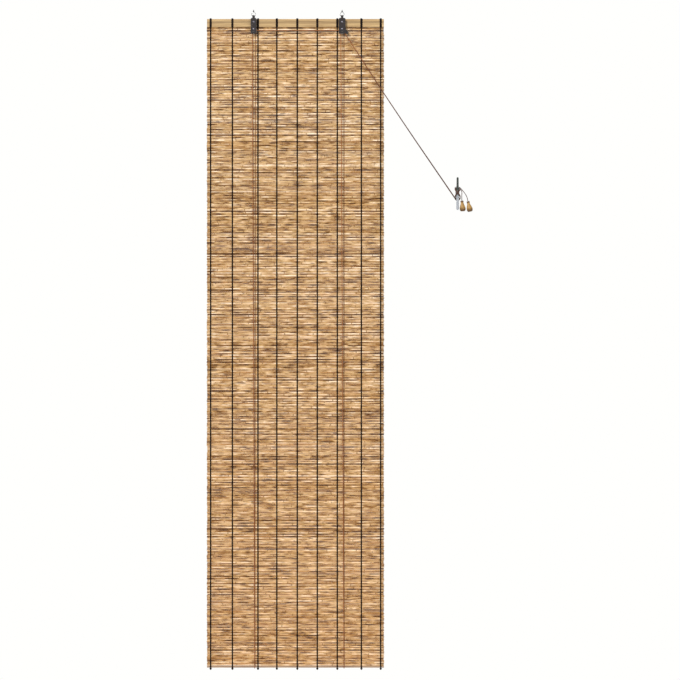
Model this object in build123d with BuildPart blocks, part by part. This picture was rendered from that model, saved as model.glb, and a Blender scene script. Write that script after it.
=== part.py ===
from build123d import *
from math import asin, atan2, cos, dist, pi, radians, sin, sqrt, tan
import os

os.makedirs("parts", exist_ok=True)

# A reed roll up blind, hung from two screw eyes, with its two lift cords made fast on a cleat.
# Frame: +X to the right as seen from the room, -Y into the room, +Z up, all in millimetres.
# The origin is midway between the two screw eyes, on the underside of the lintel that holds them.

# ---- mat and battens
blind_width = 600.0
blind_drop = 2200.0
mat_offset_x = -8.3
batten_height = 28.0
batten_depth = 8.0
batten_edge_round = 1.0
slat_height = 7.0
slat_depth = 5.0
slat_edge_round = 2.0
reed_mean_radius = 2.07
reed_radius_swing = 0.58
reed_gap = 0.2
reed_first_gap = 0.6
reed_rhythm = 2.4
reed_grade_steps = 4

# ---- warp threads
thread_width = 3.3
thread_thickness = 0.9
thread_double_width = 6.0
thread_top_knot_radius = 1.6
thread_bottom_knot_radius = 3.3
edge_thread_inset_left = 12.4
edge_thread_inset_right = 10.8
block_thread_reach_left = 14.7
block_thread_reach_right = 16.3
middle_thread_offset = 6.3
thread_shares = (0.46, 0.48, 0.50, 0.555)

# ---- screw eyes
eye_spacing = 300.0
eye_ring_outer_radius = 7.75
eye_wire_radius = 1.0
eye_shank_radius = 1.6
eye_shank_length = 5.0
eye_point_length = 3.0
eye_lintel_gap = 0.5

# ---- lift cords and their sheaves
cord_radius = 1.2
cord_clearance = 0.3
sheave_pitch_radius = 4.5
sheave_flange_radius = 6.0
sheave_width = 4.4
sheave_mouth_flare = 0.2
side_clearance = 0.3
running_clearance = 0.05

# ---- pulley blocks, each a strap of sheet folded over the wire of its eye
sheet = 1.0
neck_width = 8.6
neck_height = 9.7
left_block_width = 20.0
right_block_width = 23.0
block_height = 62.4
block_shoulder = 3.0
block_corner_radius = 4.0
flare_reach = 11.0
flare_height = 21.0
fold_clearance = 0.05
batten_rivet_drop = 22.9
batten_rivet_inset = 10.5
keeper_drop = 46.7
axle_drop = 56.2
pin_radius = 1.5
rivet_head_radius = 3.0
rivet_head_height = 1.2
axle_head_radius = 2.6
axle_head_height = 0.8
sleeve_wall = 1.0
pin_fit = 0.05

# ---- cord anchors on the back of the batten
anchor_offset_x = 6.5
anchor_drop = 18.0
staple_wire_radius = 0.6
staple_leg_depth = 5.0
anchor_knot_radius = 2.4
left_turn_x = 3.8
right_turn_x = 6.4
turn_clearance = 0.5

# ---- cleat on the wall beside the blind
cleat_x = 541.4
cleat_z = -615.9
wall_y = 21.0
cleat_length = 111.0
cleat_plate_length = 44.0
cleat_plate_width = 13.0
cleat_plate_thickness = 2.5
cleat_post_length = 15.0
cleat_post_width = 7.0
horn_back_y = 4.5
horn_depth = 6.0
horn_tip_lift = 4.5
horn_top_width = 6.8
horn_bottom_width = 9.4
horn_edge_round = 1.6
horn_tip_radius = 2.2
cleat_screw_spacing = 32.0
cleat_screw_radius = 1.6
cleat_screw_neck_radius = 1.8
cleat_screw_head_radius = 3.2
cleat_screw_length = 16.0
cleat_screw_point = 3.0

# ---- the cords' winding on the cleat
wrap_top_radius = 11.0
wrap_bottom_radius = 10.5
wrap_half_height = 12.2
wrap_front_y = -7.0
wrap_back_y = 11.5
wrap_clearance = 0.3
wrap_edge_round = 3.0
entry_x = 533.2
entry_z = -633.4
lead_mat_clearance = 0.7
lead_spread = 3.0

# ---- wooden pulls
pull_height = 36.0
pull_neck_radius = 5.0
pull_neck_round = 1.5
pull_belly_radius = 10.0
pull_belly_rise = 9.0
pull_base_radius = 6.5
pull_recess_radius = 4.2
pull_recess_depth = 8.0
pull_bore_clearance = 0.3
pull_knot_radius = 3.0
left_pull_top = (556.3, 9.0, -639.5)
right_pull_top = (577.0, 8.0, -641.5)
left_pull_lean = 5.4
right_pull_lean = 11.8

# ---- the loose tails, point by point from the winding to just above each pull
left_tail_points = [(548.5, -0.5, -603.0), (556.4, 0.5, -609.0), (555.6, 4.0, -621.5)]
right_tail_points = [(548.0, -4.3, -599.5), (557.5, -3.5, -608.5), (565.2, 0.5, -620.5), (570.3, 4.0, -630.0)]
pull_lead_in = 4.0
bend_share = 0.45

# ---- places that follow from the sizes above
left_eye_x = -eye_spacing / 2
right_eye_x = eye_spacing / 2
ring_radius = eye_ring_outer_radius - eye_wire_radius
ring_z = -eye_lintel_gap - eye_ring_outer_radius
ring_hole_radius = ring_radius - eye_wire_radius
fold_inner_z = ring_z - sqrt(ring_hole_radius**2 - (neck_width / 2) ** 2) - fold_clearance
fold_top_z = fold_inner_z + sheet
shoulder_z = fold_top_z - neck_height
block_bottom_z = fold_top_z - block_height
batten_rivet_z = fold_top_z - batten_rivet_drop
keeper_z = fold_top_z - keeper_drop
axle_z = fold_top_z - axle_drop

throat = 2 * sheave_width + 3 * side_clearance
cheek_y = throat / 2 + sheet
sheave_y = (sheave_width + side_clearance) / 2

batten_top_z = batten_rivet_z + batten_rivet_inset
batten_bottom_z = batten_top_z - batten_height
batten_front_y = cheek_y
batten_back_y = batten_front_y + batten_depth
mat_y = batten_front_y + batten_depth / 2
mat_left_x = mat_offset_x - blind_width / 2
mat_right_x = mat_offset_x + blind_width / 2
mat_bottom_z = batten_top_z - blind_drop
slat_top_z = mat_bottom_z + slat_height
reed_largest_radius = reed_mean_radius + reed_radius_swing
weave_front_y = mat_y - reed_largest_radius - pin_fit
weave_back_y = mat_y + reed_largest_radius + pin_fit

cord_top_z = axle_z + sheave_pitch_radius
anchor_z = batten_top_z - anchor_drop
anchor_cord_y = batten_back_y + anchor_knot_radius + cord_clearance / 2
staple_half_span = cord_radius + cord_clearance / 2 + staple_wire_radius
staple_crown_y = anchor_cord_y + cord_radius + cord_clearance / 2 + staple_wire_radius
turn_front_y = mat_y - slat_depth / 2 - turn_clearance - cord_radius
turn_back_y = mat_y + slat_depth / 2 + turn_clearance + cord_radius
turn_z = mat_bottom_z - turn_clearance - cord_radius


def save(piece, name):
    """Label a finished piece and write it as its own file."""
    piece.part.label = name
    export_step(piece.part, f"parts/{name}.step")


def along(y):
    """The upright plane at depth y, seen from the room: its x runs along +X and its y along +Z."""
    return Plane(origin=(0, y, 0), x_dir=(1, 0, 0), z_dir=(0, -1, 0))


# ---------------------------------------------------------------- head batten and bottom slat

with BuildPart() as head_batten:
    with Locations((mat_offset_x, mat_y, (batten_top_z + batten_bottom_z) / 2)):
        Box(blind_width, batten_depth, batten_height)
    fillet(head_batten.edges().filter_by(Axis.X), batten_edge_round)
    with BuildSketch(along(batten_front_y)):
        with Locations((left_eye_x, batten_rivet_z), (right_eye_x, batten_rivet_z)):
            Circle(pin_radius + pin_fit)
    extrude(amount=-batten_depth, mode=Mode.SUBTRACT)
    with BuildSketch(along(batten_back_y)):
        for eye_x in (left_eye_x, right_eye_x):
            with Locations((eye_x + anchor_offset_x, anchor_z)):
                with GridLocations(2 * staple_half_span, 1, 2, 1):
                    Circle(staple_wire_radius + pin_fit)
    extrude(amount=staple_leg_depth + pin_fit, mode=Mode.SUBTRACT)
save(head_batten, "head_batten")

with BuildPart() as bottom_slat:
    with Locations((mat_offset_x, mat_y, mat_bottom_z + slat_height / 2)):
        Box(blind_width, slat_depth, slat_height)
    fillet(bottom_slat.edges().filter_by(Axis.X), slat_edge_round)
save(bottom_slat, "bottom_slat")

# ---------------------------------------------------------------- the reeds, laid one under another

mat_height = batten_bottom_z - reed_first_gap - slat_top_z - reed_gap
reed_count = int(mat_height / (2 * reed_mean_radius + reed_gap))
reed_grades = []
for row in range(reed_count):
    wave = sin(reed_rhythm * row) * cos(row * row)
    reed_grades.append(round(wave * reed_grade_steps))
reed_radii = [reed_mean_radius + reed_radius_swing * grade / reed_grade_steps for grade in reed_grades]
reed_spacing = (mat_height - 2 * sum(reed_radii)) / (reed_count - 1)
reed_places = {grade: [] for grade in reed_grades}
reed_z = batten_bottom_z - reed_first_gap
for grade, reed_radius in zip(reed_grades, reed_radii):
    reed_places[grade].append((mat_y, reed_z - reed_radius))
    reed_z -= 2 * reed_radius + reed_spacing

with BuildPart() as reeds:
    with BuildSketch(Plane.YZ.offset(mat_offset_x)):
        for grade, places in reed_places.items():
            with Locations(*places):
                Circle(reed_mean_radius + reed_radius_swing * grade / reed_grade_steps)
    extrude(amount=blind_width / 2, both=True)
save(reeds, "reeds")
print("reeds", reed_count, "clear between them", round(reed_spacing, 3))

# ---------------------------------------------------------------- nine warp threads

edge_left = mat_left_x + edge_thread_inset_left
edge_right = mat_right_x - edge_thread_inset_right
beside_left = left_eye_x + block_thread_reach_left
beside_right = right_eye_x - block_thread_reach_right
middle = mat_offset_x + middle_thread_offset
thread_places = [
    edge_left,
    edge_left + thread_shares[0] * (beside_left - edge_left),
    beside_left,
    beside_left + thread_shares[1] * (middle - beside_left),
    middle,
    middle + thread_shares[2] * (beside_right - middle),
    beside_right,
    beside_right + thread_shares[3] * (edge_right - beside_right),
    edge_right,
]

for number, thread_x in enumerate(thread_places, 1):
    with BuildPart() as warp_thread:
        # the twined pair over the reeds, drawn as one band in front, under and behind
        with BuildSketch(Plane.YZ.offset(thread_x)):
            band_height = batten_bottom_z - mat_bottom_z + thread_thickness
            band_depth = weave_back_y - weave_front_y
            with Locations((mat_y, batten_bottom_z - band_height / 2)):
                Rectangle(band_depth + 2 * thread_thickness, band_height)
            with Locations((mat_y, batten_bottom_z - (band_height - thread_thickness) / 2)):
                Rectangle(band_depth, band_height - thread_thickness, mode=Mode.SUBTRACT)
        extrude(amount=thread_width / 2, both=True)
        # the doubled turn round the batten
        with BuildSketch(Plane.YZ.offset(thread_x)):
            with Locations((mat_y, (batten_top_z + batten_bottom_z) / 2)):
                Rectangle(batten_depth + 2 * thread_thickness, batten_height + 2 * thread_thickness)
                Rectangle(batten_depth, batten_height, mode=Mode.SUBTRACT)
            with Locations((mat_y, batten_bottom_z - thread_thickness / 2)):
                Rectangle(band_depth, thread_thickness, mode=Mode.SUBTRACT)
        extrude(amount=thread_double_width / 2, both=True)
        with Locations((thread_x, mat_y, batten_top_z + thread_top_knot_radius + thread_thickness / 3)):
            Sphere(thread_top_knot_radius)
        with Locations((thread_x, mat_y, mat_bottom_z - thread_bottom_knot_radius - pin_fit)):
            Sphere(thread_bottom_knot_radius)
    save(warp_thread, f"warp_thread_{number}")

# ---------------------------------------------------------------- pulley blocks

for side, eye_x, block_width, flare in (
    ("left", left_eye_x, left_block_width, 0.0),
    ("right", right_eye_x, right_block_width, flare_reach),
):
    half = block_width / 2
    fold_z = fold_top_z - cheek_y
    with BuildPart() as block_frame:
        # the fold over the eye's wire
        with BuildSketch(Plane.YZ.offset(eye_x)):
            with Locations((0, fold_z)):
                Circle(cheek_y)
                Circle(throat / 2, mode=Mode.SUBTRACT)
                Rectangle(2 * cheek_y, cheek_y, align=(Align.CENTER, Align.MAX), mode=Mode.SUBTRACT)
        extrude(amount=neck_width / 2, both=True)
        # two cheeks with chamfered shoulders; the right block flares where its cords leave
        for face_y in (-cheek_y, throat / 2):
            with BuildSketch(along(face_y)) as cheek:
                with Locations((eye_x, fold_z)):
                    neck_drop = fold_z - shoulder_z
                    Rectangle(neck_width, neck_drop, align=(Align.CENTER, Align.MAX))
                with BuildLine():
                    flare_top = (eye_x + half, block_bottom_z + flare_height)
                    flare_foot = (eye_x + half + flare, block_bottom_z + block_corner_radius)
                    Polyline(
                        flare_foot,
                        (eye_x + half + flare, block_bottom_z),
                        (eye_x - half, block_bottom_z),
                        (eye_x - half, shoulder_z - block_shoulder),
                        (eye_x - half + block_shoulder, shoulder_z),
                        (eye_x + half - block_shoulder, shoulder_z),
                        (eye_x + half, shoulder_z - block_shoulder),
                        flare_top,
                    )
                    if flare:
                        TangentArc(flare_top, flare_foot, tangent=(0, -1))
                    else:
                        Line(flare_top, flare_foot)
                make_face()
                fillet(cheek.vertices().group_by(Axis.Y)[0], block_corner_radius)
                with Locations((eye_x, batten_rivet_z), (eye_x, keeper_z), (eye_x, axle_z)):
                    Circle(pin_radius + pin_fit, mode=Mode.SUBTRACT)
            extrude(amount=-sheet)
    save(block_frame, f"{side}_block_frame")

# ---------------------------------------------------------------- pins, rivets and what they carry


def domed_pin(eye_x, pin_z, front_y, back_y, head_radius, head_height):
    """A pin along Y with a domed head at each end, turned about its own axis."""
    with BuildPart() as pin:
        with BuildSketch(Plane(origin=(eye_x, 0, pin_z), x_dir=(0, 1, 0), z_dir=(-1, 0, 0))):
            with BuildLine():
                Line((front_y - head_height, 0), (back_y + head_height, 0))
                TangentArc((back_y + head_height, 0), (back_y, head_radius), tangent=(0, 1))
                Polyline((back_y, head_radius), (back_y, pin_radius), (front_y, pin_radius), (front_y, head_radius))
                TangentArc((front_y - head_height, 0), (front_y, head_radius), tangent=(0, 1))
            make_face()
        revolve(axis=Axis((eye_x, 0, pin_z), (0, 1, 0)))
    return pin


def tube(eye_x, tube_z, near_y, far_y, inner_radius, outer_radius):
    """A plain sleeve along Y."""
    with BuildPart() as sleeve:
        with BuildSketch(along(near_y)):
            with Locations((eye_x, tube_z)):
                Circle(outer_radius)
                Circle(inner_radius, mode=Mode.SUBTRACT)
        extrude(amount=-(far_y - near_y))
    return sleeve


def grooved_sheave(eye_x, centre_y):
    """A sheave on its axle, with a round groove that holds the cord at the pitch radius."""
    groove = cord_radius + cord_clearance
    bore = pin_radius + running_clearance
    half = sheave_width / 2
    with BuildPart() as sheave:
        with BuildSketch(Plane(origin=(eye_x, centre_y, axle_z), x_dir=(0, 1, 0), z_dir=(-1, 0, 0))):
            with BuildLine():
                Polyline(
                    (-groove, sheave_pitch_radius),
                    (-groove - sheave_mouth_flare, sheave_flange_radius),
                    (-half, sheave_flange_radius),
                    (-half, bore),
                    (half, bore),
                    (half, sheave_flange_radius),
                    (groove + sheave_mouth_flare, sheave_flange_radius),
                    (groove, sheave_pitch_radius),
                )
                ThreePointArc(
                    (groove, sheave_pitch_radius),
                    (0, sheave_pitch_radius - groove),
                    (-groove, sheave_pitch_radius),
                )
            make_face()
        revolve(axis=Axis((eye_x, centre_y, axle_z), (0, 1, 0)))
    return sheave


for side, eye_x in (("left", left_eye_x), ("right", right_eye_x)):
    batten_rivet = domed_pin(
        eye_x, batten_rivet_z, -cheek_y, batten_back_y, rivet_head_radius, rivet_head_height
    )
    save(batten_rivet, f"{side}_batten_rivet")
    keeper_rivet = domed_pin(eye_x, keeper_z, -cheek_y, cheek_y, rivet_head_radius, rivet_head_height)
    save(keeper_rivet, f"{side}_keeper_rivet")
    axle = domed_pin(eye_x, axle_z, -cheek_y, cheek_y, axle_head_radius, axle_head_height)
    save(axle, f"{side}_axle")
    sleeve_bore = pin_radius + pin_fit
    for height, pin_z in (("upper", batten_rivet_z), ("lower", keeper_z)):
        sleeve = tube(eye_x, pin_z, -throat / 2, throat / 2, sleeve_bore, sleeve_bore + sleeve_wall)
        save(sleeve, f"{side}_{height}_sleeve")

save(grooved_sheave(left_eye_x, sheave_y), "left_sheave")
save(grooved_sheave(right_eye_x, sheave_y), "right_rear_sheave")
save(grooved_sheave(right_eye_x, -sheave_y), "right_front_sheave")
bush_back_y = sheave_y - sheave_width / 2 - side_clearance
bush = tube(left_eye_x, axle_z, -throat / 2, bush_back_y, pin_radius + pin_fit, pin_radius + pin_fit + sleeve_wall)
save(bush, "left_spacer_bush")

# ---------------------------------------------------------------- screw eyes

for side, eye_x in (("left", left_eye_x), ("right", right_eye_x)):
    with BuildPart() as screw_eye:
        with Locations(Location((eye_x, 0, ring_z), (90, 0, 0))):
            Torus(ring_radius, eye_wire_radius)
        with BuildSketch(Plane.XZ.offset(0)):
            with BuildLine():
                shank_foot = ring_z + ring_radius
                Polyline(
                    (eye_x, shank_foot),
                    (eye_x + eye_wire_radius, shank_foot),
                    (eye_x + eye_shank_radius, 0),
                    (eye_x + eye_shank_radius, eye_shank_length),
                    (eye_x, eye_shank_length + eye_point_length),
                    (eye_x, shank_foot),
                )
            make_face()
        revolve(axis=Axis((eye_x, 0, 0), (0, 0, 1)))
    save(screw_eye, f"{side}_screw_eye")

# ---------------------------------------------------------------- staples that hold the cords' upper ends

for side, eye_x in (("left", left_eye_x), ("right", right_eye_x)):
    staple_x = eye_x + anchor_offset_x
    with BuildPart() as staple:
        with BuildLine():
            leg_y = batten_back_y - staple_leg_depth
            staple_path = FilletPolyline(
                (staple_x - staple_half_span, leg_y, anchor_z),
                (staple_x - staple_half_span, staple_crown_y, anchor_z),
                (staple_x + staple_half_span, staple_crown_y, anchor_z),
                (staple_x + staple_half_span, leg_y, anchor_z),
                radius=cord_radius,
            )
        with BuildSketch(Plane(origin=staple_path @ 0, z_dir=staple_path % 0)):
            Circle(staple_wire_radius)
        sweep()
    save(staple, f"{side}_cord_staple")

# ---------------------------------------------------------------- cleat

plate_front_y = wall_y - cleat_plate_thickness
horn_front_y = horn_back_y - horn_depth


def cleat_horn(spare):
    """The horned bar of the cleat, grown by a spare distance all round."""
    half_length = cleat_length / 2 + spare
    top_half = horn_top_width / 2 + spare
    bottom_half = horn_bottom_width / 2 + spare
    front = horn_front_y - spare
    back = horn_back_y + spare
    tip_front = front - horn_tip_lift
    tip_back = tip_front + 2 * horn_tip_radius
    with BuildPart() as horn:
        # seen from the side: both tips bow away from the wall
        with BuildSketch(Plane.YZ.offset(cleat_x)):
            with BuildLine():
                ThreePointArc(
                    (tip_front, cleat_z - half_length), (front, cleat_z), (tip_front, cleat_z + half_length)
                )
                Line((tip_front, cleat_z + half_length), (tip_back, cleat_z + half_length))
                ThreePointArc(
                    (tip_back, cleat_z + half_length), (back, cleat_z), (tip_back, cleat_z - half_length)
                )
                Line((tip_back, cleat_z - half_length), (tip_front, cleat_z - half_length))
            make_face()
        extrude(amount=bottom_half, both=True)
        # seen from the room: a long taper with round ends
        with BuildSketch(along(front - horn_tip_lift - spare)):
            with Locations((cleat_x, cleat_z + half_length - top_half)):
                Circle(top_half)
            with Locations((cleat_x, cleat_z - half_length + bottom_half)):
                Circle(bottom_half)
            make_hull()
        extrude(amount=-(back - front + horn_tip_lift + 2 * spare + 1), mode=Mode.INTERSECT)
    return horn


with BuildPart() as cleat:
    add(cleat_horn(0).part)
    long_edges = cleat.edges().filter_by(lambda edge: edge.length > horn_depth)
    fillet(long_edges, horn_edge_round)
    with BuildSketch(along(wall_y)):
        with Locations((cleat_x, cleat_z)):
            SlotOverall(cleat_plate_length, cleat_plate_width, rotation=90)
    extrude(amount=cleat_plate_thickness)
    with BuildSketch(along(plate_front_y)):
        with Locations((cleat_x, cleat_z)):
            SlotOverall(cleat_post_length, cleat_post_width, rotation=90)
    extrude(amount=plate_front_y - horn_back_y + horn_edge_round)
    with Locations(Plane(origin=(cleat_x, plate_front_y, cleat_z), x_dir=(1, 0, 0), z_dir=(0, -1, 0))):
        with GridLocations(1, cleat_screw_spacing, 1, 2):
            CounterSinkHole(
                cleat_screw_neck_radius + pin_fit, cleat_screw_head_radius + pin_fit, cleat_plate_thickness
            )
save(cleat, "cleat")

with BuildPart() as cleat_screws:
    for screw_z in (cleat_z - cleat_screw_spacing / 2, cleat_z + cleat_screw_spacing / 2):
        with BuildSketch(Plane(origin=(cleat_x, plate_front_y, screw_z), x_dir=(0, 1, 0), z_dir=(-1, 0, 0))):
            cone_depth = cleat_screw_head_radius - cleat_screw_neck_radius
            Polygon(
                (0, 0),
                (0, cleat_screw_head_radius),
                (cone_depth, cleat_screw_neck_radius),
                (cleat_plate_thickness, cleat_screw_neck_radius),
                (cleat_plate_thickness, cleat_screw_radius),
                (cleat_screw_length - cleat_screw_point, cleat_screw_radius),
                (cleat_screw_length, 0),
                align=None,
            )
        revolve(axis=Axis((cleat_x, plate_front_y, screw_z), (0, 1, 0)))
save(cleat_screws, "cleat_screws")

# ---------------------------------------------------------------- lift cords

turn_radius = (turn_back_y - turn_front_y) / 2 - pin_fit
knot_z = anchor_z + staple_wire_radius + anchor_knot_radius + cord_clearance
lead_reach = dist((right_eye_x, axle_z), (entry_x, entry_z))
lead_slope = atan2(axle_z - entry_z, entry_x - right_eye_x) + asin(sheave_pitch_radius / lead_reach)
lead_corner_x = right_eye_x + sheave_pitch_radius * tan(lead_slope / 2)
# the rear cord runs towards the wall only as fast as the last warp thread lets it
lead_edge_y = weave_front_y - thread_thickness - cord_radius - lead_mat_clearance
lead_edge_share = (edge_right - lead_corner_x) / (entry_x - lead_corner_x)
left_entry_y = sheave_y + (lead_edge_y - sheave_y) / lead_edge_share
right_entry_y = left_entry_y - lead_spread


def cord_volume(route):
    """What a cord of full section along a route should hold."""
    return pi * cord_radius**2 * route.length


def lift_cord(eye_x, turn_x, plane_y, entry_y, bends_over):
    """One taut lift cord: down the back, under the slat, up the front, over its sheaves and off to the cleat."""
    points = [
        (eye_x + anchor_offset_x, anchor_cord_y, knot_z),
        (eye_x + turn_x, turn_back_y, turn_z),
        (eye_x + turn_x, turn_front_y, turn_z),
    ]
    points += bends_over
    points.append((entry_x, entry_y, entry_z))
    radii = [turn_radius, turn_radius] + [sheave_pitch_radius - cord_clearance] * len(bends_over)
    with BuildPart() as cord:
        with BuildLine():
            route = FilletPolyline(*points, radius=radii)
        with BuildSketch(Plane(origin=route @ 0, z_dir=route % 0)):
            Circle(cord_radius)
        sweep()
        print("cord", round(route.length, 1), "volume share", round(cord.part.volume / cord_volume(route), 4))
        with Locations(route @ 0):
            Sphere(anchor_knot_radius)
    return cord


left_over = [
    (left_eye_x - sheave_pitch_radius, sheave_y, cord_top_z),
    (lead_corner_x, sheave_y, cord_top_z),
]
left_lift_cord = lift_cord(left_eye_x, left_turn_x, sheave_y, left_entry_y, left_over)
save(left_lift_cord, "left_lift_cord")

front_corner_x = right_eye_x - sheave_pitch_radius
right_over = [(front_corner_x, -sheave_y, cord_top_z), (lead_corner_x, -sheave_y, cord_top_z)]
right_lift_cord = lift_cord(right_eye_x, right_turn_x, -sheave_y, right_entry_y, right_over)
save(right_lift_cord, "right_lift_cord")

# ---------------------------------------------------------------- wooden pulls and the tails that carry them


def pull_plane(top, lean):
    """The upright plane through a pull's axis, its y running up the axis."""
    return Plane(origin=top, x_dir=(cos(radians(lean)), 0, sin(radians(lean))), z_dir=(0, -1, 0))


def cord_tail(points, top, lean):
    """A loose tail, rounded at each point, that ends in a knot inside its pull."""
    axis_up = pull_plane(top, lean).y_dir
    above = Vector(top) + axis_up * pull_lead_in
    knot = Vector(top) - axis_up * (pull_height - pull_recess_depth + pull_knot_radius + pin_fit)
    stops = [Vector(point) for point in points] + [above, knot]
    radii = []
    for before, here, after in zip(stops, stops[1:], stops[2:]):
        turn = radians((here - before).get_angle(after - here))
        run = min((here - before).length, (after - here).length)
        radii.append(bend_share * run / tan(turn / 2))
    with BuildPart() as tail:
        with BuildLine():
            route = FilletPolyline(*stops, radius=radii)
        with BuildSketch(Plane(origin=route @ 0, z_dir=route % 0)):
            Circle(cord_radius)
        sweep()
        print("tail", round(route.length, 1), "volume share", round(tail.part.volume / cord_volume(route), 4))
        print("  bend radii", [round(radius, 1) for radius in radii])
        with Locations(knot):
            Sphere(pull_knot_radius)
    return tail


def wooden_pull(top, lean):
    """A turned acorn pull, bored for the cord and counterbored from below for its knot."""
    bore = cord_radius + pull_bore_clearance
    with BuildPart() as pull:
        with BuildSketch(pull_plane(top, lean)):
            with BuildLine():
                neck = (pull_neck_radius, -pull_neck_round)
                belly = (pull_belly_radius, pull_belly_rise - pull_height)
                foot = (pull_base_radius, -pull_height)
                Line((bore, 0), (pull_neck_radius - pull_neck_round, 0))
                RadiusArc((pull_neck_radius - pull_neck_round, 0), neck, pull_neck_round)
                Spline(neck, belly, tangents=[(0.1, -1), (0, -1)])
                Spline(belly, foot, tangents=[(0, -1), (-1, -0.35)])
                Polyline(
                    foot,
                    (pull_recess_radius, -pull_height),
                    (pull_recess_radius, pull_recess_depth - pull_height),
                    (bore, pull_recess_depth - pull_height),
                    (bore, 0),
                )
            make_face()
        revolve(axis=Axis(top, pull_plane(top, lean).y_dir))
    return pull


left_tail = cord_tail(left_tail_points, left_pull_top, left_pull_lean)
save(left_tail, "left_cord_tail")
right_tail = cord_tail(right_tail_points, right_pull_top, right_pull_lean)
save(right_tail, "right_cord_tail")
save(wooden_pull(left_pull_top, left_pull_lean), "left_wooden_pull")
save(wooden_pull(right_pull_top, right_pull_lean), "right_wooden_pull")

# ---------------------------------------------------------------- the figure-eight winding on the cleat

with BuildPart() as cord_winding:
    with BuildSketch(along(wrap_front_y)):
        with Locations((cleat_x, cleat_z + wrap_half_height)):
            Circle(wrap_top_radius)
        with Locations((cleat_x, cleat_z - wrap_half_height)):
            Circle(wrap_bottom_radius)
        make_hull()
    extrude(amount=wrap_front_y - wrap_back_y)
    fillet(cord_winding.edges(), wrap_edge_round)
    add(cleat_horn(wrap_clearance).part, mode=Mode.SUBTRACT)
    with BuildSketch(along(plate_front_y)):
        with Locations((cleat_x, cleat_z)):
            post_growth = 2 * wrap_clearance
            SlotOverall(cleat_post_length + post_growth, cleat_post_width + post_growth, rotation=90)
    extrude(amount=plate_front_y - horn_back_y, mode=Mode.SUBTRACT)
    for strand in (left_lift_cord, right_lift_cord, left_tail, right_tail):
        add(strand.part, mode=Mode.SUBTRACT)
save(cord_winding, "cord_winding")
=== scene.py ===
# %% Load the frame
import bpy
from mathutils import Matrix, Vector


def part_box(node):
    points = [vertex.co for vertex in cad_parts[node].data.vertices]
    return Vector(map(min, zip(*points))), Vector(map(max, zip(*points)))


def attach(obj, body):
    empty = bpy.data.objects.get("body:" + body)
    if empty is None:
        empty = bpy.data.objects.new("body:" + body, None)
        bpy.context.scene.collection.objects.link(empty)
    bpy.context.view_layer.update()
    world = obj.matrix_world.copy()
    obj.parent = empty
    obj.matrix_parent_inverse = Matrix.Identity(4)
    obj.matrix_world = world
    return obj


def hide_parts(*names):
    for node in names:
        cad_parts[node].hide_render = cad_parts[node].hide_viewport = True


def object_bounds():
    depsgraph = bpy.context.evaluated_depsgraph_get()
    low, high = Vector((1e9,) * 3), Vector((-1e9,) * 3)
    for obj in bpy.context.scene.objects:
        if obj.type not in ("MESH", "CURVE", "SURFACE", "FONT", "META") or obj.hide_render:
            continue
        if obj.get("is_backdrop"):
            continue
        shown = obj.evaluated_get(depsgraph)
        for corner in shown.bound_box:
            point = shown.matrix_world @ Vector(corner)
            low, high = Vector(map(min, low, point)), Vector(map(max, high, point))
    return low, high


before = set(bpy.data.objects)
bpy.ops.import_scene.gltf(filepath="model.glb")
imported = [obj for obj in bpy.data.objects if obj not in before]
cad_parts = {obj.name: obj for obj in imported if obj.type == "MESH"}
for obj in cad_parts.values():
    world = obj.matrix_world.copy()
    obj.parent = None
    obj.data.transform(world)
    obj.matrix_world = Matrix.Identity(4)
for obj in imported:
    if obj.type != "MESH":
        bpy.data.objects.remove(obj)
cad_low, cad_high = [tuple(corner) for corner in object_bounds()]

# %% [markdown]
# A reed roll up blind is a mat of dry reeds bound by black threads. It hangs from two pulley blocks, and
# two cords that run round its foot roll it up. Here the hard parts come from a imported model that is
# already the right size, so nothing is fitted: each cell below adds one finish or one soft piece in the
# same metres. Places are read from the model's own boxes, because a number that is read can't drift away
# from the part it belongs to.

# %% Modules and the sizes that everything hangs on
import math
import random
import bpy
import numpy as np
from mathutils import Vector

MM = 0.001
batten_low, batten_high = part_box("head_batten")
slat_low, slat_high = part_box("bottom_slat")
reeds_low, reeds_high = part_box("reeds")
mat_y = (batten_low[1] + batten_high[1]) / 2
mat_x = (batten_low[0] + batten_high[0]) / 2
mat_width = batten_high[0] - batten_low[0]
mat_drop = batten_high[2] - slat_low[2]
print("mat", round(mat_width, 4), "wide,", round(mat_drop, 4), "drop")

# %% [markdown]
# The camera stands square to the mat and far off, so that the long blind keeps its straight sides. A long
# lens does this without an orthographic camera. The distance is set first, and the focal length follows
# from the height that has to fit: sensor width times distance over the width seen.

# %% The camera
seen_width = 1.0485 * mat_drop
camera_aside = 0.2518 * mat_width
camera_down = 0.4948 * mat_drop
camera_distance = 12.0
camera_data = bpy.data.cameras.new("camera")
camera_data.sensor_width = 36.0
camera_data.lens = camera_data.sensor_width * camera_distance / seen_width
camera_data.clip_end = 60.0
camera = bpy.data.objects.new("camera", camera_data)
bpy.context.scene.collection.objects.link(camera)
camera.location = (mat_x + camera_aside, mat_y - camera_distance, batten_high[2] - camera_down)
camera.rotation_euler = (math.radians(90), 0, 0)
bpy.context.scene.camera = camera
print("lens", round(camera_data.lens, 1), "mm at", camera_distance, "m")

# %% [markdown]
# The blind hangs in the air, so its floor is only a pale disc a little way below its foot. It is small
# enough to stay under the camera's view, because a floor that ran on to the horizon would draw a line
# across the picture.

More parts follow.
